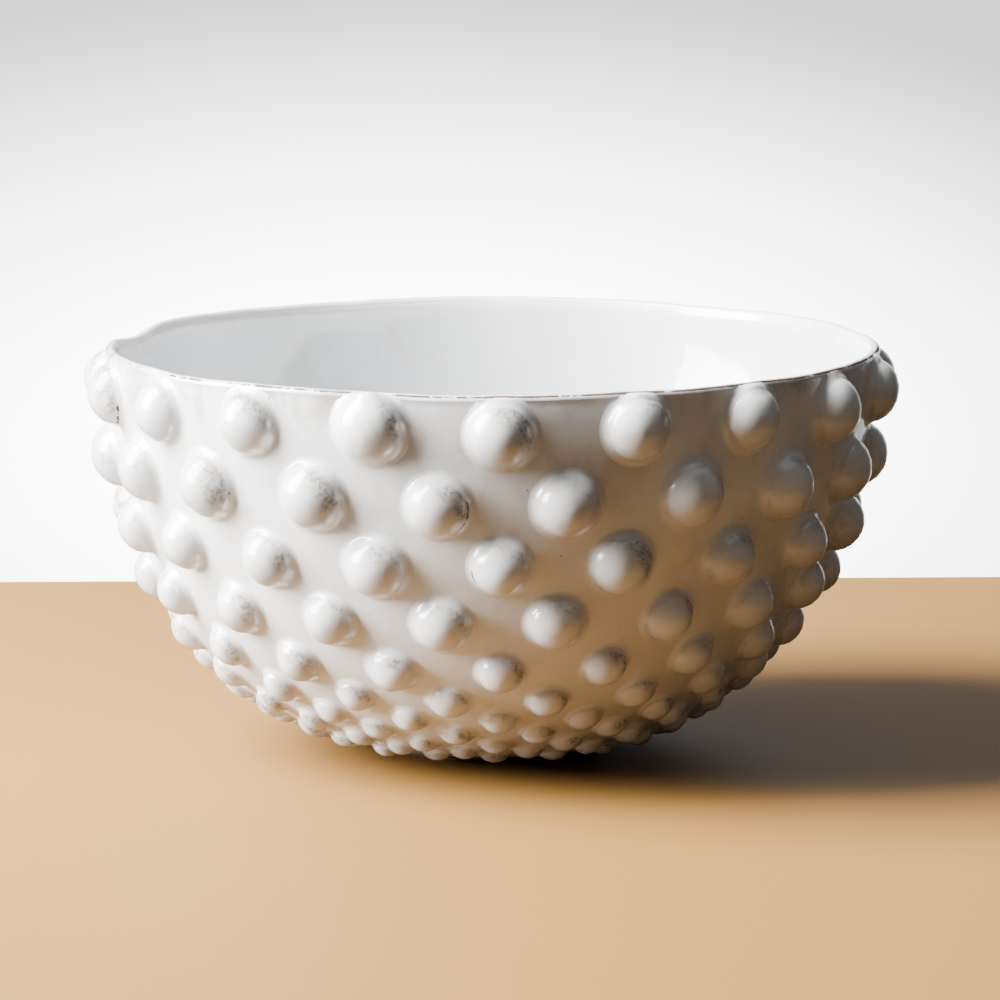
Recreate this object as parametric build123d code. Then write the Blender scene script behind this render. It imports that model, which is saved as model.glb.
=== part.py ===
from build123d import *
import math
import os

# Punch bowl of hand-built pottery. Millimetres, +Z up, standing on z = 0, axis on the Z axis.
# The wall is one pressed shell of revolution. Balls of clay are pressed on to its outside in
# staggered rows. A low ring of clay under the bowl is the foot. The first knob of row 1 faces -Y.

# Overall sizes
rim_radius = 167.0
bowl_height = 176.5

# Wall
rim_thickness = 4.6
base_thickness = 6.4
base_flat_radius = 34.0
base_lift = 2.0
rim_lean = 2.4
join_lean = 24.0

# Knobs, rows listed from the rim down
knobs_per_row = 19
rim_gap = 2.4
foot_gap = 23.0
row_step_parts = (30.6, 28.5, 26.1, 23.7, 18.2, 14.6, 11.8, 11.6, 10.2, 9.8)
bare_gap = (12.1, 10.5, 9.4, 8.5, 6.2, 4.9, 4.0, 3.9, 2.8, 2.2, 2.8)
knob_rise = (11.5, 11.4, 10.8, 9.7, 7.6, 6.1, 5.1, 4.6, 4.2, 3.8, 3.4)

# Foot
foot_outer_radius = 47.0
foot_width = 8.0
foot_edge_round = 0.8

os.makedirs("parts", exist_ok=True)

lean_top = math.radians(rim_lean)
lean_join = math.radians(join_lean)
lean_base = math.radians(90.0)


def two_arcs(top_radius, top_height, flat_radius, flat_height):
    """Radii of the upper and the lower arc that run tangent from the rim to the flat of the base."""
    a = math.cos(lean_top) - math.cos(lean_join)
    b = math.cos(lean_join) - math.cos(lean_base)
    c = math.sin(lean_join) - math.sin(lean_top)
    d = math.sin(lean_base) - math.sin(lean_join)
    across = top_radius - flat_radius
    down = top_height - flat_height
    det = a * d - b * c
    return (across * d - b * down) / det, (a * down - across * c) / det


def wall_curve(top_radius, top_height, flat_radius, flat_height):
    """Centres and radii of the two arcs of one face of the wall."""
    upper, lower = two_arcs(top_radius, top_height, flat_radius, flat_height)
    upper_centre = (top_radius - upper * math.cos(lean_top), top_height + upper * math.sin(lean_top))
    join = (upper_centre[0] + upper * math.cos(lean_join), upper_centre[1] - upper * math.sin(lean_join))
    lower_centre = (join[0] - lower * math.cos(lean_join), join[1] + lower * math.sin(lean_join))
    return upper_centre, upper, lower_centre, lower


def on_curve(curve, lean):
    """Point of the face where it leans by this angle from upright."""
    upper_centre, upper, lower_centre, lower = curve
    centre, radius = (upper_centre, upper) if lean <= lean_join else (lower_centre, lower)
    return centre[0] + radius * math.cos(lean), centre[1] - radius * math.sin(lean)


def lean_at(curve, distance):
    """Lean of the face at this distance along it from the rim."""
    upper_length = curve[1] * (lean_join - lean_top)
    if distance <= upper_length:
        return lean_top + distance / curve[1]
    return lean_join + (distance - upper_length) / curve[3]


def face_edges(curve):
    """The two arcs as edges, from the rim to the flat."""
    middle_top = (lean_top + lean_join) / 2
    middle_base = (lean_join + lean_base) / 2
    rim = on_curve(curve, lean_top)
    join = on_curve(curve, lean_join)
    flat = on_curve(curve, lean_base)
    upper_edge = ThreePointArc(rim, on_curve(curve, middle_top), join)
    lower_edge = ThreePointArc(join, on_curve(curve, middle_base), flat)
    return rim, flat, upper_edge, lower_edge


outer = wall_curve(rim_radius, bowl_height, base_flat_radius, base_lift)
inner_radius = rim_radius - rim_thickness
inner = wall_curve(inner_radius, bowl_height, base_flat_radius, base_lift + base_thickness)

# Wall: an even shell with a full round lip
outer_rim, outer_flat, outer_upper, outer_lower = face_edges(outer)
inner_rim, inner_flat, inner_upper, inner_lower = face_edges(inner)
lip = Line(outer_rim, inner_rim)
inside_floor = Line(inner_flat, (0, inner_flat[1]))
axis_side = Line((0, inner_flat[1]), (0, outer_flat[1]))
underside = Line((0, outer_flat[1]), outer_flat)
faces_cut = [outer_upper, outer_lower, inner_upper, inner_lower]
section = make_face(faces_cut + [lip, inside_floor, axis_side, underside])
bowl_wall = revolve(Plane.XZ * section, Axis.Z)
lip_edges = bowl_wall.edges().filter_by(GeomType.CIRCLE).group_by(Axis.Z)[-1]
bowl_wall = fillet(lip_edges, rim_thickness * 0.46)
bowl_wall.label = "bowl_wall"
export_step(bowl_wall, "parts/bowl_wall.step")

# Everything inside the outer face of the wall and above it, which shapes the backs of the knobs
# and the top of the foot
above_rim = outer_rim[1] + rim_radius / 4
core_side = Line(outer_rim, (outer_rim[0], above_rim))
core_top = Line((outer_rim[0], above_rim), (0, above_rim))
core_axis = Line((0, above_rim), (0, outer_flat[1]))
core_section = make_face([outer_upper, outer_lower, underside, core_axis, core_top, core_side])
core = Rot(0, 0, 180) * revolve(Plane.XZ * core_section, Axis.Z)

# Knobs: balls pressed on to the wall, each row half a step round from the one above.
# The rows fill the wall from rim_gap under the rim to foot_gap above the foot, closing up downwards.
# A knob is as wide as the distance to its nearest neighbour, less the bare wall left between the two.
upper_length = outer[1] * (lean_join - lean_top)
foot_lean = math.acos((foot_outer_radius - base_flat_radius) / outer[3])
foot_distance = upper_length + outer[3] * (foot_lean - lean_join)
row_count = len(knob_rise)
row_radius = [0.0] * row_count
for settle in range(40):
    start = rim_gap + row_radius[0]
    room = foot_distance - foot_gap - row_radius[-1] - start
    step_room = room / sum(row_step_parts)
    row_distance = [start + step_room * sum(row_step_parts[:row]) for row in range(row_count)]
    row_lean = [lean_at(outer, distance) for distance in row_distance]
    row_point = [on_curve(outer, lean) for lean in row_lean]
    row_pitch = [2 * math.pi * point[0] / knobs_per_row for point in row_point]
    slants = []
    for row in range(row_count - 1):
        slants.append(math.hypot(row_distance[row + 1] - row_distance[row], row_pitch[row + 1] / 2))
    nearest = []
    for row in range(row_count):
        nearest.append(min([row_pitch[row]] + slants[max(row - 1, 0) : row + 1]))
    row_radius = [(nearest[row] - bare_gap[row]) / 2 for row in range(row_count)]

turn_step = 360.0 / knobs_per_row
for row in range(row_count):
    rise = knob_rise[row]
    ball = (row_radius[row] ** 2 + rise**2) / (2 * rise)
    sunk = ball - rise
    inward = (-math.cos(row_lean[row]), 0, math.sin(row_lean[row]))
    centre = (row_point[row][0] + sunk * inward[0], 0, row_point[row][1] + sunk * inward[2])
    knob = Plane(origin=centre, x_dir=inward, z_dir=(0, 1, 0)) * Sphere(ball) - core
    start_turn = -90.0 + (turn_step / 2 if row % 2 else 0.0)
    knob = knob.solids()[0]
    turns = [start_turn + turn_step * number for number in range(knobs_per_row)]
    knobs = [Rot(0, 0, turn) * knob for turn in turns]
    name = f"knob_row_{row + 1:02d}"
    export_step(Compound(children=knobs, label=name), f"parts/{name}.step")

# Foot: a low ring of clay under the wall
foot_inner_radius = foot_outer_radius - foot_width
foot_blank = Cylinder(foot_outer_radius, bowl_height, align=(Align.CENTER, Align.CENTER, Align.MIN))
foot_hole = Cylinder(foot_inner_radius, bowl_height, align=(Align.CENTER, Align.CENTER, Align.MIN))
foot_ring = foot_blank - foot_hole - core
foot_edges = foot_ring.edges().group_by(Axis.Z)[0]
foot_ring = fillet(foot_edges, foot_edge_round)
foot_ring.label = "foot_ring"
export_step(foot_ring, "parts/foot_ring.step")
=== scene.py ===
import math

import bmesh
import bpy
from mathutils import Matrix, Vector
from mathutils.bvhtree import BVHTree


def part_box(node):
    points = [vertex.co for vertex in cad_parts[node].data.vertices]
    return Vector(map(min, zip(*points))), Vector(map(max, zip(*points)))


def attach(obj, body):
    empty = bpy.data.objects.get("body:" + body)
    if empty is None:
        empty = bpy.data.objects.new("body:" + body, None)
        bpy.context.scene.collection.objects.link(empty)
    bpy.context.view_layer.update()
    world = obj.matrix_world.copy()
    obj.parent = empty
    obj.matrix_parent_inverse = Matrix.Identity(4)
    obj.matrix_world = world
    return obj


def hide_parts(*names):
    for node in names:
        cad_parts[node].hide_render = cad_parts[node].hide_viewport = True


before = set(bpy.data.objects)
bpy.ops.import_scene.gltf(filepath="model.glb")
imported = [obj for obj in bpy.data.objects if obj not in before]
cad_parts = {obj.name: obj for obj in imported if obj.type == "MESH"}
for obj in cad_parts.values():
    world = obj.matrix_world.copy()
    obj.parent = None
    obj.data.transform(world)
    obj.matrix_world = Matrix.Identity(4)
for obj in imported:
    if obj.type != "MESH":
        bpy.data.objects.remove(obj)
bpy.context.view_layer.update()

# ---------------------------------------------------------------------------------------------
# Wall of the bowl. One thin shell of dark clay, pressed over a form and finished by hand, so it is
# a little out of round and its lip rises and falls. It is dipped in a thick milky white glaze that
# runs thin on the lip, where the clay shows as a broken dark line.

wall_low, wall_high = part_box("bowl_wall")
rim_radius = wall_high.x
rim_height = wall_high.z
base_lift = wall_low.z
rim_thickness = 0.0046
base_thickness = 0.0064
base_flat_radius = 0.034
lean_top = math.radians(2.4)
lean_join = math.radians(24.0)
lean_base = math.radians(90.0)

white_glaze = (0.690, 0.685, 0.675, 1.0)
dull_white_glaze = (0.615, 0.603, 0.585, 1.0)
# painted shade: the darker, cooler white laid over the inside of the bowl
inside_shade_white = (0.535, 0.550, 0.565, 1.0)
cloudy_glaze = (0.430, 0.385, 0.335, 1.0)
smudge_brown = (0.270, 0.200, 0.145, 1.0)
# grey of thin glaze, also used as painted shade on the knobs' shaded side
thin_and_shaded_grey = (0.300, 0.275, 0.250, 1.0)
speck_dark = (0.075, 0.060, 0.050, 1.0)
pinhole_dark = (0.085, 0.055, 0.040, 1.0)
clay_dark = (0.030, 0.016, 0.011, 1.0)
clay_red = (0.105, 0.050, 0.032, 1.0)


def put(tree, kind, sockets=None, **settings):
    """Adds a node. sockets maps an input's name or number to a value or to another node's output."""
    node = tree.nodes.new(kind)
    for key, value in settings.items():
        setattr(node, key, value)
    for key, value in (sockets or {}).items():
        if isinstance(value, bpy.types.NodeSocket):
            tree.links.new(value, node.inputs[key])
        else:
            node.inputs[key].default_value = value
    return node


def figure(tree, operation, *values, clamp=False):
    """A sum on numbers; returns its output."""
    return put(tree, "ShaderNodeMath", dict(enumerate(values)), operation=operation, use_clamp=clamp).outputs[0]


def plus(tree, first, second):
    return figure(tree, "ADD", first, second)


def minus(tree, first, second):
    return figure(tree, "SUBTRACT", first, second)


def times(tree, first, *others):
    for other in others:
        first = figure(tree, "MULTIPLY", first, other)
    return first


def shared(tree, first, share, second):
    """Part of one number and the rest of another."""
    return plus(tree, times(tree, first, share), times(tree, second, 1.0 - share))


def arrow(tree, operation, *values):
    """A sum on vectors; returns its output."""
    node = put(tree, "ShaderNodeVectorMath", operation=operation)
    for number, value in enumerate(values):
        socket = node.inputs["Scale"] if operation == "SCALE" and number == 1 else node.inputs[number]
        if isinstance(value, bpy.types.NodeSocket):
            tree.links.new(value, socket)
        else:
            socket.default_value = value
    return node.outputs["Value" if operation in ("LENGTH", "DOT_PRODUCT") else "Vector"]


def ease(tree, value, low, high, to_low=0.0, to_high=1.0):
    """Turns a number smoothly from one range to another."""
    sockets = {"Value": value, "From Min": low, "From Max": high, "To Min": to_low, "To Max": to_high}
    return put(tree, "ShaderNodeMapRange", sockets, interpolation_type="SMOOTHSTEP").outputs[0]


def parts_of(tree, vector):
    """X, Y and Z of a vector, by name."""
    return put(tree, "ShaderNodeSeparateXYZ", {0: vector}).outputs


def cloud(tree, place, scale, detail=2.0, roughness=0.5, distortion=0.0, seed=None):
    """Soft noise from 0 to 1. With a seed it differs from seed to seed."""
    sockets = {"Vector": place, "Scale": scale, "Detail": detail, "Roughness": roughness, "Distortion": distortion}
    if seed is None:
        return put(tree, "ShaderNodeTexNoise", sockets).outputs[0]
    return put(tree, "ShaderNodeTexNoise", {**sockets, "W": seed}, noise_dimensions="4D").outputs[0]


def dyed(tree, share, under, top):
    """One colour laid over another in this share."""
    return put(tree, "ShaderNodeMix", {0: share, 6: under, 7: top}, data_type="RGBA").outputs[2]


def new_group(name, kind, inputs, outputs):
    """A node group with named sockets; returns the group, its inputs' outputs, and its output node."""
    tree = bpy.data.node_groups.new(name, kind)
    for label, socket_type, value in inputs:
        socket = tree.interface.new_socket(label, in_out="INPUT", socket_type=socket_type)
        if value is not None:
            socket.default_value = value
    for label, socket_type in outputs:
        tree.interface.new_socket(label, in_out="OUTPUT", socket_type=socket_type)
    return tree, tree.nodes.new("NodeGroupInput").outputs, tree.nodes.new("NodeGroupOutput")


GEOMETRY, NUMBER, WHOLE = "NodeSocketGeometry", "NodeSocketFloat", "NodeSocketInt"
VECTOR, COLOUR = "NodeSocketVector", "NodeSocketColor"
STUFF, THING = "NodeSocketMaterial", "NodeSocketObject"


def here(tree):
    """The place of each point."""
    return put(tree, "GeometryNodeInputPosition").outputs[0]


def facing(tree):
    """The way each point of a surface faces."""
    return put(tree, "GeometryNodeInputNormal").outputs[0]


def turned_shape():
    """Group that turns a profile, given as points in order, once round the Z axis into a closed mesh."""
    tree, given, result = new_group(
        "turned shape", "GeometryNodeTree",
        [("Profile", GEOMETRY, None), ("Around", WHOLE, 64), ("Along", WHOLE, 16)],
        [("Mesh", GEOMETRY)],
    )
    columns = plus(tree, given["Around"], 1.0)
    grid = put(tree, "GeometryNodeMeshGrid", {"Vertices X": columns, "Vertices Y": given["Along"]})
    place = parts_of(tree, here(tree))
    turn = times(tree, plus(tree, place["X"], 0.5), 2 * math.pi)
    last = minus(tree, given["Along"], 1.0)
    row = figure(tree, "ROUND", times(tree, plus(tree, place["Y"], 0.5), last))
    profile_point = put(
        tree, "GeometryNodeSampleIndex",
        {"Geometry": given["Profile"], "Index": row}, data_type="FLOAT_VECTOR", clamp=True,
    )
    tree.links.new(here(tree), profile_point.inputs["Value"])
    profile = parts_of(tree, profile_point.outputs[0])
    x = times(tree, profile["X"], figure(tree, "COSINE", turn))
    y = times(tree, profile["X"], figure(tree, "SINE", turn))
    spot = put(tree, "ShaderNodeCombineXYZ", {"X": x, "Y": y, "Z": profile["Z"]})
    spun = put(tree, "GeometryNodeSetPosition", {"Geometry": grid.outputs["Mesh"], "Position": spot.outputs[0]})
    closed = put(tree, "GeometryNodeMergeByDistance", {"Geometry": spun.outputs[0], "Distance": 1e-6})
    tree.links.new(closed.outputs[0], result.inputs["Mesh"])
    return tree


def marked(tree, mesh, layers):
    """Stores named number layers on the points of a mesh, for its finish to read."""
    for label, value in layers:
        sockets = {"Geometry": mesh, "Name": label, "Value": value}
        mesh = put(tree, "GeometryNodeStoreNamedAttribute", sockets, data_type="FLOAT", domain="POINT").outputs[0]
    return mesh


def finish_shape(tree, mesh, stuff, result):
    """Ends a tree with smooth shading, one whole mesh and its finish."""
    smooth = put(tree, "GeometryNodeSetShadeSmooth", {"Geometry": mesh})
    whole = put(tree, "GeometryNodeRealizeInstances", {"Geometry": smooth.outputs[0]})
    covered = put(tree, "GeometryNodeSetMaterial", {"Geometry": whole.outputs[0], "Material": stuff})
    tree.links.new(covered.outputs[0], result.inputs[0])
    return tree


turned = turned_shape()


def thing_from_points(name, points):
    """An object whose mesh is only points."""
    mesh = bpy.data.meshes.new(name)
    mesh.from_pydata(points, [], [])
    thing = bpy.data.objects.new(name, mesh)
    bpy.context.scene.collection.objects.link(thing)
    return thing


def shape_with(thing, tree, values):
    """Runs a Geometry Nodes tree on an object and keeps the result as a plain mesh."""
    modifier = thing.modifiers.new(tree.name, "NODES")
    modifier.node_group = tree
    sockets = {item.name: item.identifier for item in tree.interface.items_tree if item.in_out == "INPUT"}
    for label, value in values.items():
        modifier[sockets[label]] = value
    bpy.context.view_layer.update()
    evaluated = thing.evaluated_get(bpy.context.evaluated_depsgraph_get())
    mesh = bpy.data.meshes.new_from_object(evaluated)
    thing.modifiers.remove(modifier)
    old = thing.data
    thing.data = mesh
    bpy.data.meshes.remove(old)
    mesh.name = thing.name


def wall_face(top_radius, flat_height):
    """Points of one face of the wall, two arcs that run smoothly into each other, from the rim down."""
    a = math.cos(lean_top) - math.cos(lean_join)
    b = math.cos(lean_join) - math.cos(lean_base)
    c = math.sin(lean_join) - math.sin(lean_top)
    d = math.sin(lean_base) - math.sin(lean_join)
    across, down = top_radius - base_flat_radius, rim_height - flat_height
    det = a * d - b * c
    upper, lower = (across * d - b * down) / det, (a * down - across * c) / det
    join_radius, join_height = top_radius - upper * a, rim_height - upper * c
    upper_length, lower_length = upper * (lean_join - lean_top), lower * (lean_base - lean_join)
    points = []
    for step in range(wall_steps + 1):
        distance = (upper_length + lower_length) * step / wall_steps
        if distance <= upper_length:
            lean = lean_top + distance / upper
            radius = top_radius + upper * (math.cos(lean) - math.cos(lean_top))
            height = rim_height - upper * (math.sin(lean) - math.sin(lean_top))
        else:
            lean = lean_join + (distance - upper_length) / lower
            radius = join_radius + lower * (math.cos(lean) - math.cos(lean_join))
            height = join_height - lower * (math.sin(lean) - math.sin(lean_join))
        points.append((radius, 0.0, height))
    return points


def bare_clay():
    """Unglazed clay: dark red brown, dull and a little gritty."""
    tree, given, result = new_group(
        "bare clay", "ShaderNodeTree",
        [("Place", VECTOR, None), ("Grit", NUMBER, 900.0)],
        [("Color", COLOUR), ("Roughness", NUMBER), ("Height", NUMBER)],
    )
    grit = cloud(tree, given["Place"], given["Grit"], 3.0)
    patch = cloud(tree, given["Place"], 60.0)
    tone = shared(tree, grit, 0.5, patch)
    tree.links.new(dyed(tree, ease(tree, tone, 0.35, 0.65), clay_dark, clay_red), result.inputs["Color"])
    tree.links.new(ease(tree, grit, 0.3, 0.7, 0.62, 0.86), result.inputs["Roughness"])
    tree.links.new(grit, result.inputs["Height"])
    return tree


def milky_glaze(clay):
    """Thick white glaze over the dark clay. Where it has run thin off a shoulder it goes grey and specked, and on the
    knobs that grey is also painted shade on their shaded side; Break is where it parts along an edge or a crease and
    shows the clay; Smudge is a faint brown bloom; inside the bowl a darker, cooler white is painted shade."""
    tree, given, result = new_group(
        "milky glaze", "ShaderNodeTree",
        [("Place", VECTOR, None), ("Thin", NUMBER, 0.0), ("Break", NUMBER, 0.0), ("Smudge", NUMBER, 0.0),
         ("Pooled", NUMBER, 0.0)],
        [("Color", COLOUR), ("Roughness", NUMBER), ("Coat", NUMBER), ("Height", NUMBER)],
    )
    place = given["Place"]
    broad = cloud(tree, place, 11.0, 3.0)
    patches = cloud(tree, place, 24.0, 4.0, 0.62, 0.6)
    flow = cloud(tree, place, 30.0)
    drift = cloud(tree, place, 48.0, 3.0, 0.55, 0.5)
    mottle = cloud(tree, place, 150.0, 3.0, 0.6)
    speck = cloud(tree, place, 620.0)

    # white, painted darker and cooler inside the bowl as painted shade, clouded here and there, and smudged
    colour = dyed(tree, ease(tree, broad, 0.36, 0.68), white_glaze, dull_white_glaze)
    colour = dyed(tree, times(tree, given["Pooled"], 0.85), colour, inside_shade_white)
    cloudy = ease(tree, shared(tree, patches, 0.75, mottle), 0.49, 0.68)
    colour = dyed(tree, times(tree, cloudy, 0.36), colour, cloudy_glaze)
    bloom = figure(tree, "MULTIPLY", given["Smudge"], ease(tree, drift, 0.44, 0.66), clamp=True)
    colour = dyed(tree, times(tree, bloom, 0.80), colour, smudge_brown)

    # where the glaze is thin it is grey with fine dark specks; on the knobs this grey is also painted shade on their
    # shaded side
    ragged = ease(tree, shared(tree, drift, 0.5, mottle), 0.31, 0.55)
    thin = figure(tree, "MULTIPLY", given["Thin"], ragged, clamp=True)
    colour = dyed(tree, times(tree, thin, 0.78), colour, thin_and_shaded_grey)
    fine = ease(tree, shared(tree, speck, 0.75, mottle), 0.455, 0.60)
    specks = figure(tree, "MULTIPLY", fine, ease(tree, thin, 0.22, 0.75), clamp=True)
    colour = dyed(tree, times(tree, specks, 0.50), colour, speck_dark)

    # pinholes, one in a few cells
    cells = put(tree, "ShaderNodeTexVoronoi", {"Vector": place, "Scale": 75.0})
    pick = put(tree, "ShaderNodeSeparateColor", {0: cells.outputs["Color"]}).outputs
    few = figure(tree, "GREATER_THAN", pick[0], 0.80)
    edge = ease(tree, pick[1], 0.0, 1.0, 0.016, 0.040)
    hole = times(tree, figure(tree, "LESS_THAN", cells.outputs["Distance"], edge), few)
    colour = dyed(tree, times(tree, hole, 0.85), colour, pinhole_dark)

    # the clay where the glaze has parted
    dry = put(tree, "ShaderNodeGroup", {"Place": place}, node_tree=clay)
    frayed = times(tree, minus(tree, shared(tree, mottle, 0.6, speck), 0.5), 1.6)
    parted = ease(tree, plus(tree, given["Break"], frayed), 0.42, 0.58)
    parted = times(tree, parted, figure(tree, "GREATER_THAN", given["Break"], 0.02))
    colour = dyed(tree, parted, colour, dry.outputs["Color"])

    rough = plus(tree, ease(tree, broad, 0.3, 0.7, 0.24, 0.34), times(tree, thin, 0.10))
    rough = put(tree, "ShaderNodeMix", {0: parted, 2: rough, 3: dry.outputs["Roughness"]}).outputs[0]
    unparted = figure(tree, "SUBTRACT", 1.0, parted, clamp=True)
    height = plus(tree, plus(tree, flow, times(tree, drift, 0.40)), times(tree, mottle, 0.16))
    height = minus(tree, minus(tree, height, times(tree, hole, 0.30)), times(tree, parted, 0.20))
    tree.links.new(colour, result.inputs["Color"])
    tree.links.new(rough, result.inputs["Roughness"])
    tree.links.new(times(tree, unparted, 0.75), result.inputs["Coat"])
    tree.links.new(height, result.inputs["Height"])
    return tree


clay_group = bare_clay()
glaze_group = milky_glaze(clay_group)


def glazed(name):
    """The glaze on one kind of piece. Number layers on the mesh say where it is thin (on the knobs also painted
    shade), parted and smudged, and where the inside is painted in shade; a layer that the piece lacks counts as
    nowhere."""
    stuff = bpy.data.materials.new(name)
    stuff.use_nodes = True
    tree = stuff.node_tree
    tree.nodes.clear()
    sockets = {"Place": put(tree, "ShaderNodeTexCoord").outputs["Object"]}
    for label, layer in (("Thin", "thin"), ("Break", "parted"), ("Smudge", "smudge"), ("Pooled", "pooled")):
        sockets[label] = put(tree, "ShaderNodeAttribute", attribute_name=layer).outputs["Fac"]
    skin = put(tree, "ShaderNodeGroup", sockets, node_tree=glaze_group)
    relief = put(tree, "ShaderNodeBump", {"Strength": 0.6, "Distance": 0.0010, "Height": skin.outputs["Height"]})
    surface = put(
        tree, "ShaderNodeBsdfPrincipled",
        {"Base Color": skin.outputs["Color"], "Roughness": skin.outputs["Roughness"], "IOR": 1.5,
         "Coat Weight": skin.outputs["Coat"], "Coat Roughness": 0.05, "Coat IOR": 1.5, "Normal": relief.outputs[0]},
    )
    put(tree, "ShaderNodeOutputMaterial", {"Surface": surface.outputs[0]})
    return stuff


wall_glaze = glazed("wall glaze")

# the wall's section, from the middle of the underside up over the lip and down to the inside floor
wall_steps, lip_steps, flat_steps = 96, 24, 6
lip_round = rim_thickness / 2
lip_middle = rim_radius - lip_round
lip_height = rim_height - lip_round
outer_face = [point for point in wall_face(rim_radius, base_lift) if point[2] < lip_height]
inner_face = [
    point for point in wall_face(rim_radius - rim_thickness, base_lift + base_thickness) if point[2] < lip_height
]
lip = []
for step in range(lip_steps + 1):
    turn = math.pi * step / lip_steps
    lip.append((lip_middle + lip_round * math.cos(turn), 0.0, lip_height + lip_round * math.sin(turn)))
flat = [base_flat_radius * step / flat_steps for step in range(flat_steps)]
underside = [(radius, 0.0, base_lift) for radius in flat]
inside_floor = [(radius, 0.0, base_lift + base_thickness) for radius in flat[::-1]]
wall_profile = underside + outer_face[::-1] + lip + inner_face + inside_floor


def hand_pressed_wall():
    """Tree that turns the wall's profile and gives it the waver of hand work."""
    tree, given, result = new_group(
        "hand pressed wall", "GeometryNodeTree",
        [("Geometry", GEOMETRY, None), ("Around", WHOLE, 288), ("Along", WHOLE, 200),
         ("Out of round", NUMBER, 0.001), ("Lip waver", NUMBER, 0.001), ("Tilt", NUMBER, 0.001),
         ("Slump", NUMBER, 0.003), ("Pinch turn", NUMBER, 2.8), ("Pinch width", NUMBER, 0.2),
         ("Pinch", NUMBER, 0.0025), ("Height", NUMBER, 0.17), ("Radius", NUMBER, 0.16),
         ("Lip middle", NUMBER, 0.16), ("Lip round", NUMBER, 0.002), ("Smudge depth", NUMBER, 0.04),
         ("Seed", NUMBER, 1.0), ("Glaze", STUFF, None)],
        [("Geometry", GEOMETRY)],
    )
    sockets = {"Profile": given["Geometry"], "Around": given["Around"], "Along": given["Along"]}
    body = put(tree, "GeometryNodeGroup", sockets, node_tree=turned)
    where = here(tree)
    place = parts_of(tree, where)
    level = figure(tree, "DIVIDE", place["Z"], given["Height"])
    risen = figure(tree, "MAXIMUM", level, 0.0)
    outward = arrow(tree, "NORMALIZE", arrow(tree, "MULTIPLY", where, (1.0, 1.0, 0.0)))
    to_right = parts_of(tree, outward)["X"]

    # out of round, more so towards the rim
    low = minus(tree, cloud(tree, where, 7.0, 2.0, 0.6, seed=given["Seed"]), 0.5)
    push = times(tree, low, times(tree, given["Out of round"], 4.0))
    side_move = arrow(tree, "SCALE", outward, times(tree, push, figure(tree, "POWER", risen, 1.5)))

    # the lip rises and falls, and stands a little higher at the back
    wave = minus(tree, cloud(tree, outward, 2.4, 3.0, 0.55, seed=given["Seed"]), 0.5)
    lift = times(tree, wave, times(tree, given["Lip waver"], 4.0))
    lean_back = times(tree, figure(tree, "DIVIDE", place["Y"], given["Radius"]), given["Tilt"])
    up = times(tree, plus(tree, lift, lean_back), figure(tree, "POWER", risen, 3.0))

    # the wet wall slumped to one side: fuller at the rim and drawn in low down, only on that side
    drawn_in = times(tree, ease(tree, level, 0.62, 0.30), ease(tree, level, 0.03, 0.16))
    lopsided = minus(tree, times(tree, ease(tree, level, 0.55, 0.90), 0.5), drawn_in)
    slumped = times(tree, lopsided, ease(tree, to_right, 0.1, 0.9), given["Slump"])

    # the lip was pinched in at one place
    pinch_spot = {"X": figure(tree, "COSINE", given["Pinch turn"]), "Y": figure(tree, "SINE", given["Pinch turn"])}
    pinch_out = put(tree, "ShaderNodeCombineXYZ", pinch_spot).outputs[0]
    alike = figure(tree, "MINIMUM", arrow(tree, "DOT_PRODUCT", outward, pinch_out), 1.0)
    from_pinch = figure(tree, "DIVIDE", figure(tree, "ARCCOSINE", alike), given["Pinch width"])
    pinched = times(tree, ease(tree, from_pinch, 1.0, 0.0), ease(tree, level, 0.70, 1.0), given["Pinch"])
    side_move = arrow(tree, "ADD", side_move, arrow(tree, "SCALE", outward, minus(tree, slumped, pinched)))
    up_move = put(tree, "ShaderNodeCombineXYZ", {"Z": minus(tree, up, pinched)}).outputs[0]

    # the glaze parts on the outer corner of the lip, more so to the right
    corner_lean = math.radians(48)
    ring = arrow(tree, "LENGTH", arrow(tree, "MULTIPLY", where, (1.0, 1.0, 0.0)))
    out_of_lip = figure(tree, "DIVIDE", minus(tree, ring, given["Lip middle"]), given["Lip round"])
    lip_centre = minus(tree, given["Height"], given["Lip round"])
    over_lip = figure(tree, "DIVIDE", minus(tree, place["Z"], lip_centre), given["Lip round"])
    corner = plus(
        tree, times(tree, out_of_lip, math.cos(corner_lean)), times(tree, over_lip, math.sin(corner_lean)),
    )
    patchy = cloud(tree, outward, 9.0, 3.0, seed=given["Seed"])
    worn = plus(tree, ease(tree, to_right, -0.9, 0.5, 0.42, 0.78), times(tree, minus(tree, patchy, 0.5), 1.3))
    worn = figure(tree, "MINIMUM", figure(tree, "MAXIMUM", worn, 0.0), 1.0)
    parted = times(tree, ease(tree, corner, 0.935, 0.985), worn)

    # a band of smudges under the lip on the outside
    facing_out = ease(tree, arrow(tree, "DOT_PRODUCT", facing(tree), outward), 0.0, 0.4)
    under = ease(tree, minus(tree, given["Height"], place["Z"]), given["Smudge depth"], 0.0)
    smudge = times(tree, under, facing_out, ease(tree, patchy, 0.40, 0.62))

    # painted shade: the inside of the bowl is painted a darker, cooler white
    inward = arrow(tree, "SUBTRACT", (0.0, 0.0, 0.8), outward)
    facing_in = ease(tree, arrow(tree, "DOT_PRODUCT", facing(tree), inward), 0.1, 0.5)
    pooled = times(tree, facing_in, ease(tree, level, 0.985, 0.95))

    layers = (("parted", parted), ("smudge", smudge), ("thin", times(tree, smudge, 0.25)), ("pooled", pooled))
    layered = marked(tree, body.outputs[0], layers)
    move = arrow(tree, "ADD", side_move, up_move)
    moved = put(tree, "GeometryNodeSetPosition", {"Geometry": layered, "Offset": move})
    return finish_shape(tree, moved.outputs[0], given["Glaze"], result)


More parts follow.
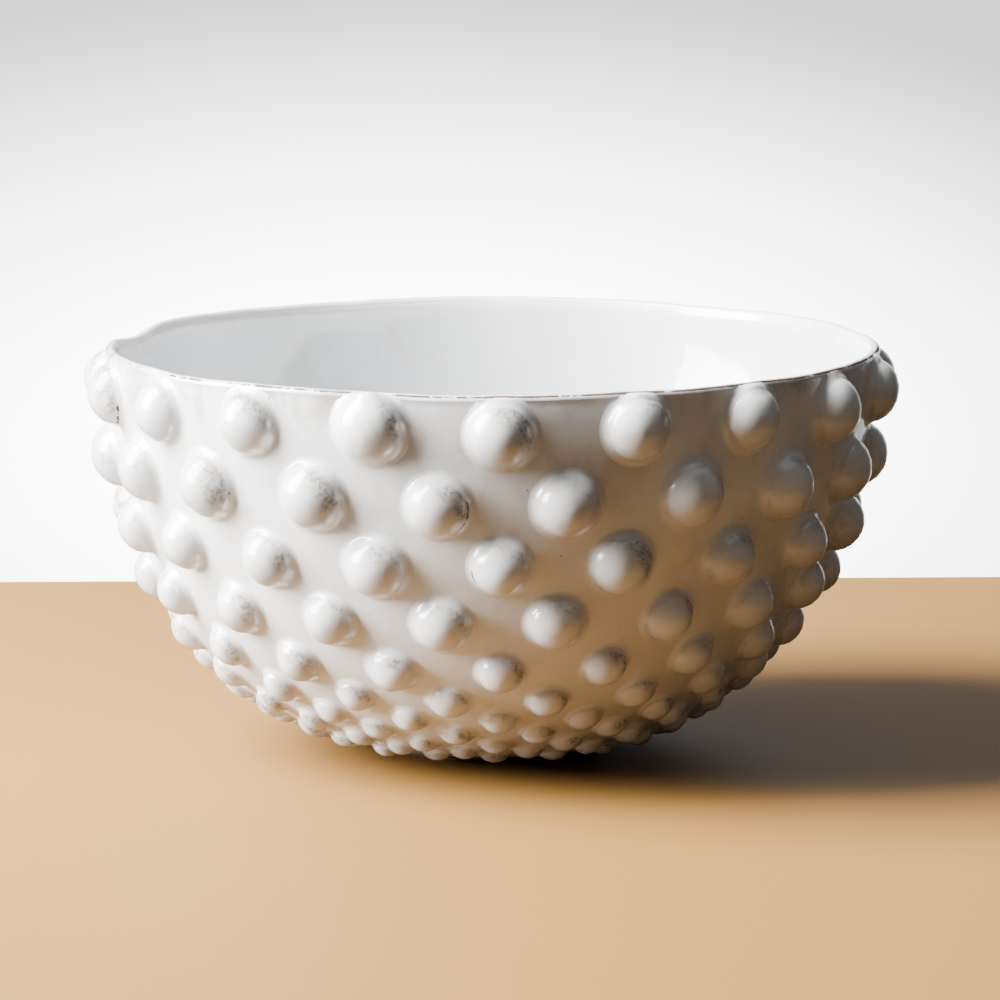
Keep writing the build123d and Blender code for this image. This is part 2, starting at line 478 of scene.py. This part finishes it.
bowl_wall = thing_from_points("wall", wall_profile)
wall_values = {
    "Around": 288, "Along": len(wall_profile), "Out of round": 0.0012, "Lip waver": 0.0009, "Tilt": 0.0012,
    "Slump": 0.0036, "Pinch turn": math.radians(163), "Pinch width": math.radians(13), "Pinch": 0.0024,
    "Height": rim_height, "Radius": rim_radius, "Lip middle": lip_middle, "Lip round": lip_round,
    "Smudge depth": 0.042, "Seed": 3.0, "Glaze": wall_glaze,
}
shape_with(bowl_wall, hand_pressed_wall(), wall_values)

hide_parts("bowl_wall")
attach(bowl_wall, "root")

# ---------------------------------------------------------------------------------------------
# Knobs. Balls of the same clay, pressed on to the outside in staggered rows and smoothed into the
# wall with a wet finger before glazing. Each row is its own piece; no two knobs are quite alike.

knob_rows = 11
finger_groove = 0.00022
knob_sink = 0.0002

knob_glaze = glazed("knob glaze")


def knob_profile(radius, rise, fillet):
    """Points of a knob's side, from under its middle out to its smoothed foot and up over the top.
    A finger run round the foot leaves a faint groove where the ball meets the smoothed clay."""
    ball = (radius**2 + rise**2) / (2 * rise)
    centre = rise - ball
    reach = math.sqrt((ball + fillet) ** 2 - (fillet - centre) ** 2)
    meet = math.atan2(reach, fillet - centre)
    points = [
        (0.0, 0.0, -3 * knob_sink), (reach * 0.7, 0.0, -2.4 * knob_sink), (reach + 3.5 * knob_sink, 0.0, -knob_sink),
    ]
    for step in range(5):
        angle = meet * step / 4
        points.append((reach - fillet * math.sin(angle), 0.0, fillet - fillet * math.cos(angle)))
    for share, groove in ((0.965, 1.0), (0.92, 0.35), (0.84, 0.0), (0.66, 0.0), (0.44, 0.0), (0.2, 0.0), (0.0, 0.0)):
        size = ball - finger_groove * groove
        points.append((size * math.sin(meet * share), 0.0, centre + size * math.cos(meet * share)))
    return points


def pressed_knobs():
    """Tree that turns a knob and sets one on the wall at each point, each a little different."""
    tree, given, result = new_group(
        "pressed knobs", "GeometryNodeTree",
        [("Geometry", GEOMETRY, None), ("Profile", THING, None), ("Wall", THING, None), ("Around", WHOLE, 24),
         ("Along", WHOLE, 16), ("Rise", NUMBER, 0.01), ("Scatter", NUMBER, 0.001), ("Size change", NUMBER, 0.05),
         ("Lumps", NUMBER, 0.0005), ("Seed", WHOLE, 1), ("Glaze", STUFF, None)],
        [("Geometry", GEOMETRY)],
    )
    wall = put(tree, "GeometryNodeObjectInfo", {"Object": given["Wall"]}).outputs["Geometry"]
    profile = put(tree, "GeometryNodeObjectInfo", {"Object": given["Profile"]}).outputs["Geometry"]

    def on_wall(what, spot):
        """The place, or the way it faces, of the wall's point nearest to a spot."""
        sockets = {"Mesh": wall, "Sample Position": spot}
        sampled = put(tree, "GeometryNodeSampleNearestSurface", sockets, data_type="FLOAT_VECTOR")
        tree.links.new(what(tree), sampled.inputs["Value"])
        return sampled.outputs[0]

    def chance(seed_step):
        """A number from -1 to 1 for each knob."""
        sockets = {2: -1.0, 3: 1.0, "Seed": plus(tree, given["Seed"], float(seed_step))}
        return put(tree, "FunctionNodeRandomValue", sockets, data_type="FLOAT").outputs[1]

    def any_way(seed):
        """A random direction for each knob."""
        sockets = {0: (-1.0, -1.0, -1.0), 1: (1.0, 1.0, 1.0), "Seed": seed}
        return put(tree, "FunctionNodeRandomValue", sockets, data_type="FLOAT_VECTOR").outputs[0]

    def changed(seed_step):
        """One, give or take the change in size."""
        return plus(tree, 1.0, times(tree, chance(seed_step), given["Size change"]))

    scattered = arrow(tree, "ADD", here(tree), arrow(tree, "SCALE", any_way(given["Seed"]), given["Scatter"]))
    start = {"Geometry": given["Geometry"], "Position": on_wall(here, scattered)}
    seated = put(tree, "GeometryNodeSetPosition", start)
    sockets = {"Profile": profile, "Around": given["Around"], "Along": given["Along"]}
    knob = put(tree, "GeometryNodeGroup", sockets, node_tree=turned)

    # keep each point's height above the wall, and each knob's seat and direction, to bend it to the wall
    kept_height = put(tree, "GeometryNodeCaptureAttribute", {"Geometry": knob.outputs[0]})
    kept_height.capture_items.new("FLOAT", "Height")
    tree.links.new(parts_of(tree, here(tree))["Z"], kept_height.inputs["Height"])
    kept_seat = put(tree, "GeometryNodeCaptureAttribute", {"Geometry": seated.outputs[0]})
    shade = put(
        tree, "FunctionNodeRandomValue", {2: 0.0, 3: 1.0, "Seed": plus(tree, given["Seed"], 37.0)}, data_type="FLOAT",
    )
    kept = (
        ("VECTOR", "Out", on_wall(facing, here(tree))), ("VECTOR", "Seat", here(tree)),
        ("VECTOR", "Lean", any_way(plus(tree, given["Seed"], 71.0))), ("FLOAT", "Size", changed(11)),
        ("FLOAT", "Tall", changed(23)), ("FLOAT", "Shade", shade.outputs[1]),
    )
    for kind, label, value in kept:
        kept_seat.capture_items.new(kind, label)
        tree.links.new(value, kept_seat.inputs[label])
    out, lean, size = kept_seat.outputs["Out"], kept_seat.outputs["Lean"], kept_seat.outputs["Size"]
    upright = put(tree, "FunctionNodeAlignRotationToVector", {"Vector": out}, axis="Z")
    scale = put(tree, "ShaderNodeCombineXYZ", {"X": size, "Y": size, "Z": 1.0})
    placed = put(
        tree, "GeometryNodeInstanceOnPoints",
        {"Points": kept_seat.outputs["Geometry"], "Instance": kept_height.outputs["Geometry"],
         "Rotation": upright.outputs[0], "Scale": scale.outputs[0]},
    )
    loose = put(tree, "GeometryNodeRealizeInstances", {"Geometry": placed.outputs[0]})

    # bend each knob to the wall, a little lumpy
    height = kept_height.outputs["Height"]
    level = figure(tree, "DIVIDE", height, given["Rise"])
    flat_spot = arrow(tree, "SUBTRACT", here(tree), arrow(tree, "SCALE", out, height))
    lump = minus(tree, cloud(tree, here(tree), 60.0), 0.5)
    bulge = times(tree, lump, times(tree, given["Lumps"], 4.0))
    bulge = times(tree, bulge, ease(tree, level, 0.15, 0.6))
    grown = plus(tree, times(tree, height, kept_seat.outputs["Tall"]), bulge)
    raised = arrow(tree, "SCALE", on_wall(facing, flat_spot), grown)
    final = arrow(tree, "ADD", on_wall(here, flat_spot), raised)
    bent = put(tree, "GeometryNodeSetPosition", {"Geometry": loose.outputs[0], "Position": final})

    # the glaze runs thin on the upper right shoulder; this grey is also painted shade on the side turned away from
    # the lamp
    across = arrow(tree, "NORMALIZE", arrow(tree, "CROSS_PRODUCT", (0.0, 0.0, 1.0), out))
    upward = arrow(tree, "CROSS_PRODUCT", out, across)
    shoulder = arrow(tree, "ADD", arrow(tree, "SCALE", across, 0.75), arrow(tree, "SCALE", upward, 0.70))
    shoulder = arrow(tree, "ADD", shoulder, arrow(tree, "SCALE", lean, 0.50))
    apart = arrow(tree, "NORMALIZE", arrow(tree, "SUBTRACT", final, kept_seat.outputs["Seat"]))
    toward = arrow(tree, "DOT_PRODUCT", apart, arrow(tree, "NORMALIZE", shoulder))
    band = times(tree, ease(tree, level, 0.16, 0.40), ease(tree, level, 1.0, 0.72))
    how_thin_and_shaded = ease(tree, kept_seat.outputs["Shade"], 0.0, 0.8, 0.50, 1.0)
    thin = times(tree, band, ease(tree, toward, 0.10, 0.85), how_thin_and_shaded)

    # and parts here and there along the groove at the foot
    foot_line = times(tree, ease(tree, level, 0.08, 0.17), ease(tree, level, 0.36, 0.22))
    away = ease(tree, arrow(tree, "DOT_PRODUCT", apart, arrow(tree, "NORMALIZE", lean)), 0.15, 0.90)
    how_parted = ease(tree, kept_seat.outputs["Shade"], 0.25, 1.0, 0.15, 0.56)
    parted = times(tree, foot_line, away, how_parted)

    layers = (("thin", thin), ("parted", parted), ("smudge", times(tree, foot_line, 0.35)))
    return finish_shape(tree, marked(tree, bent.outputs[0], layers), given["Glaze"], result)


knob_tree = pressed_knobs()
cad_copy = bmesh.new()
cad_copy.from_mesh(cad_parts["bowl_wall"].data)
cad_wall = BVHTree.FromBMesh(cad_copy)
cad_copy.free()


def knob_seats(node):
    """Where a row's knobs sit on the wall, and how wide and high they are."""
    solid = bmesh.new()
    solid.from_mesh(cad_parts[node].data)
    bmesh.ops.remove_doubles(solid, verts=solid.verts, dist=1e-6)
    found = set()
    seats, radii, rises = [], [], []
    for first in solid.verts:
        if first in found:
            continue
        found.add(first)
        pile, knob = [first], []
        while pile:
            vertex = pile.pop()
            knob.append(vertex.co.copy())
            for edge in vertex.link_edges:
                other = edge.other_vert(vertex)
                if other not in found:
                    found.add(other)
                    pile.append(other)
        middle = sum(knob, Vector()) / len(knob)
        seat, out = cad_wall.find_nearest(middle)[:2]
        sideways = Vector((-middle.y, middle.x, 0.0)).normalized()
        widths = [(spot - seat).dot(sideways) for spot in knob]
        seats.append(seat)
        radii.append((max(widths) - min(widths)) / 2)
        rises.append(max((spot - seat).dot(out) for spot in knob))
    solid.free()
    seats.sort(key=lambda seat: math.atan2(seat.y, seat.x))
    return seats, sum(radii) / len(radii), sum(rises) / len(rises)


for row in range(1, knob_rows + 1):
    node = f"knob_row_{row:02d}"
    near_rim = row < 5
    large = row < 6
    seats, radius, rise = knob_seats(node)
    spread = radius * (1.01 if near_rim else 1.0)
    soft_foot = radius * (0.24 if near_rim else 0.28)
    profile = thing_from_points("profile", knob_profile(spread, rise, soft_foot))
    knobs = thing_from_points(f"knobs_{row:02d}", seats)
    knob_values = {
        "Profile": profile, "Wall": bowl_wall, "Around": 26 if large else 18, "Along": len(profile.data.vertices),
        "Rise": rise, "Scatter": 0.0014 if large else 0.0007, "Size change": 0.05, "Lumps": 0.00022,
        "Seed": 40 + row, "Glaze": knob_glaze,
    }
    shape_with(knobs, knob_tree, knob_values)
    bpy.data.objects.remove(profile)
    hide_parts(node)
    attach(knobs, "root")

# ---------------------------------------------------------------------------------------------
# Foot ring. A low coil of clay under the bowl, turned flat on the wheel and wiped clean of glaze,
# so that it does not stick in the kiln. Only the bare dark clay touches the table.

foot_low, foot_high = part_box("foot_ring")
foot_outer = foot_high.x
foot_inner = foot_outer - 0.008
foot_round = 0.0008
foot_inner_top = 0.0029
foot_outer_top = 0.0034
corner_steps = 4

foot_profile = [(foot_inner, 0.0, foot_inner_top)]
for step in range(corner_steps + 1):
    turn = math.pi / 2 * step / corner_steps
    across, down = foot_round * (1 - math.cos(turn)), foot_round * (1 - math.sin(turn))
    foot_profile.append((foot_inner + across, 0.0, down))
for step in range(corner_steps + 1):
    turn = math.pi / 2 * step / corner_steps
    across, down = foot_round * (1 - math.sin(turn)), foot_round * (1 - math.cos(turn))
    foot_profile.append((foot_outer - across, 0.0, down))
foot_profile += [(foot_outer, 0.0, foot_outer_top), (foot_inner, 0.0, foot_inner_top)]


def clay_foot():
    """Tree that turns the foot's section and leaves it slightly uneven."""
    tree, given, result = new_group(
        "clay foot", "GeometryNodeTree",
        [("Geometry", GEOMETRY, None), ("Around", WHOLE, 120), ("Along", WHOLE, 13), ("Uneven", NUMBER, 0.0002),
         ("Clay", STUFF, None)],
        [("Geometry", GEOMETRY)],
    )
    sockets = {"Profile": given["Geometry"], "Around": given["Around"], "Along": given["Along"]}
    ring = put(tree, "GeometryNodeGroup", sockets, node_tree=turned)
    push = times(tree, minus(tree, cloud(tree, here(tree), 60.0), 0.5), given["Uneven"])
    outward = arrow(tree, "NORMALIZE", arrow(tree, "MULTIPLY", here(tree), (1.0, 1.0, 0.0)))
    move = arrow(tree, "SCALE", outward, push)
    moved = put(tree, "GeometryNodeSetPosition", {"Geometry": ring.outputs[0], "Offset": move})
    return finish_shape(tree, moved.outputs[0], given["Clay"], result)


foot_clay = bpy.data.materials.new("foot clay")
foot_clay.use_nodes = True
foot_nodes = foot_clay.node_tree
foot_nodes.nodes.clear()
foot_place = put(foot_nodes, "ShaderNodeTexCoord").outputs["Object"]
foot_skin = put(foot_nodes, "ShaderNodeGroup", {"Place": foot_place, "Grit": 700.0}, node_tree=clay_group).outputs
foot_relief = put(foot_nodes, "ShaderNodeBump", {"Strength": 0.5, "Distance": 0.0004, "Height": foot_skin["Height"]})
foot_surface = put(
    foot_nodes, "ShaderNodeBsdfPrincipled",
    {"Base Color": foot_skin["Color"], "Roughness": foot_skin["Roughness"], "Normal": foot_relief.outputs[0]},
)
put(foot_nodes, "ShaderNodeOutputMaterial", {"Surface": foot_surface.outputs[0]})

foot = thing_from_points("foot", foot_profile)
shape_with(foot, clay_foot(), {"Around": 160, "Along": len(foot_profile), "Uneven": 0.0004, "Clay": foot_clay})
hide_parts("foot_ring")
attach(foot, "root")

# ---------------------------------------------------------------------------------------------
# Studio: a pale floor that ends behind the bowl, a white backdrop that glows towards the middle, a
# broad soft light from the left with a faint one overhead, and the camera in front.

floor_seen_colour = (0.205, 0.104, 0.026, 1.0)
floor_bounce_near = (0.130, 0.067, 0.019, 1.0)
floor_bounce_far = (0.006, 0.006, 0.005, 1.0)
cool_white = (0.985, 0.99, 1.0)


def plain(name, colour, roughness):
    stuff = bpy.data.materials.new(name)
    stuff.use_nodes = True
    shader = stuff.node_tree.nodes["Principled BSDF"]
    shader.inputs["Base Color"].default_value = colour
    shader.inputs["Roughness"].default_value = roughness
    return stuff, stuff.node_tree, shader


def sheet(name, corners, stuff):
    mesh = bpy.data.meshes.new(name)
    mesh.from_pydata(corners, [], [(0, 1, 2, 3)])
    mesh.materials.append(stuff)
    thing = bpy.data.objects.new(name, mesh)
    bpy.context.scene.collection.objects.link(thing)


def lamp(name, spot, size, power, colour):
    """A square-cornered soft light that points at the bowl."""
    light = bpy.data.lights.new(name, "AREA")
    light.shape = "RECTANGLE"
    light.size, light.size_y = size
    light.energy = power
    light.color = colour
    thing = bpy.data.objects.new(name, light)
    thing.location = spot
    thing.rotation_euler = (Vector((0, 0, 0.1)) - Vector(spot)).to_track_quat("-Z", "Y").to_euler()
    bpy.context.scene.collection.objects.link(thing)


# the floor throws warm light on to the bowl only from close by
pale_floor, floor_nodes, floor_shader = plain("pale floor", floor_seen_colour, 0.6)
floor_place = put(floor_nodes, "ShaderNodeTexCoord").outputs["Object"]
floor_seen = put(floor_nodes, "ShaderNodeLightPath").outputs["Is Camera Ray"]
floor_far = ease(floor_nodes, arrow(floor_nodes, "LENGTH", floor_place), 0.12, 0.60)
floor_bounce = dyed(floor_nodes, floor_far, floor_bounce_near, floor_bounce_far)
floor_dye = dyed(floor_nodes, floor_seen, floor_bounce, floor_seen_colour)
floor_nodes.links.new(floor_dye, floor_shader.inputs["Base Color"])
floor_shader.inputs["Specular IOR Level"].default_value = 0.1
sheet("floor", [(-3, -3, 0), (3, -3, 0), (3, 0.42, 0), (-3, 0.42, 0)], pale_floor)

backdrop_white, backdrop_nodes, backdrop_shader = plain("white backdrop", (0.20, 0.20, 0.20, 1.0), 0.9)
backdrop_place = put(backdrop_nodes, "ShaderNodeTexCoord").outputs["Object"]
backdrop_middle = put(
    backdrop_nodes, "ShaderNodeMapping",
    {"Vector": backdrop_place, "Location": (0.0, 0.0, 0.22), "Scale": (0.40, 0.0, 0.9)},
)
backdrop_far = arrow(backdrop_nodes, "LENGTH", backdrop_middle.outputs[0])
backdrop_glow = ease(backdrop_nodes, backdrop_far, 0.0, 0.42, 14.0, 0.9)
backdrop_shader.inputs["Emission Color"].default_value = (*cool_white, 1.0)
backdrop_nodes.links.new(backdrop_glow, backdrop_shader.inputs["Emission Strength"])
sheet("backdrop", [(-2.2, 2.6, -1.2), (2.2, 2.6, -1.2), (2.2, 2.6, 1.6), (-2.2, 2.6, 1.6)], backdrop_white)

lamp("window", (-1.52, -0.17, 1.10), (1.2, 1.9), 640.0, cool_white)
lamp("ceiling", (0.3, -0.2, 2.2), (2.2, 2.2), 9.0, (0.90, 0.95, 1.0))

world = bpy.data.worlds.new("studio")
bpy.context.scene.world = world
world.use_nodes = True
world.node_tree.nodes["Background"].inputs["Color"].default_value = (0.32, 0.34, 0.36, 1.0)
world.node_tree.nodes["Background"].inputs["Strength"].default_value = 0.24

camera_distance = 2.1052
camera_height = 0.4324
camera_side = math.radians(1.6)
camera_yaw = math.radians(0.12)
camera_pitch = math.radians(8.784)
lens = bpy.data.cameras.new("camera")
lens.sensor_width = 36.0
lens.lens = 175.7
camera = bpy.data.objects.new("camera", lens)
camera.location = (-camera_distance * math.sin(camera_side), -camera_distance * math.cos(camera_side), camera_height)
camera.rotation_euler = (math.pi / 2 - camera_pitch, 0.0, -camera_side - camera_yaw)
bpy.context.scene.collection.objects.link(camera)
bpy.context.scene.camera = camera

bpy.context.view_layer.update()
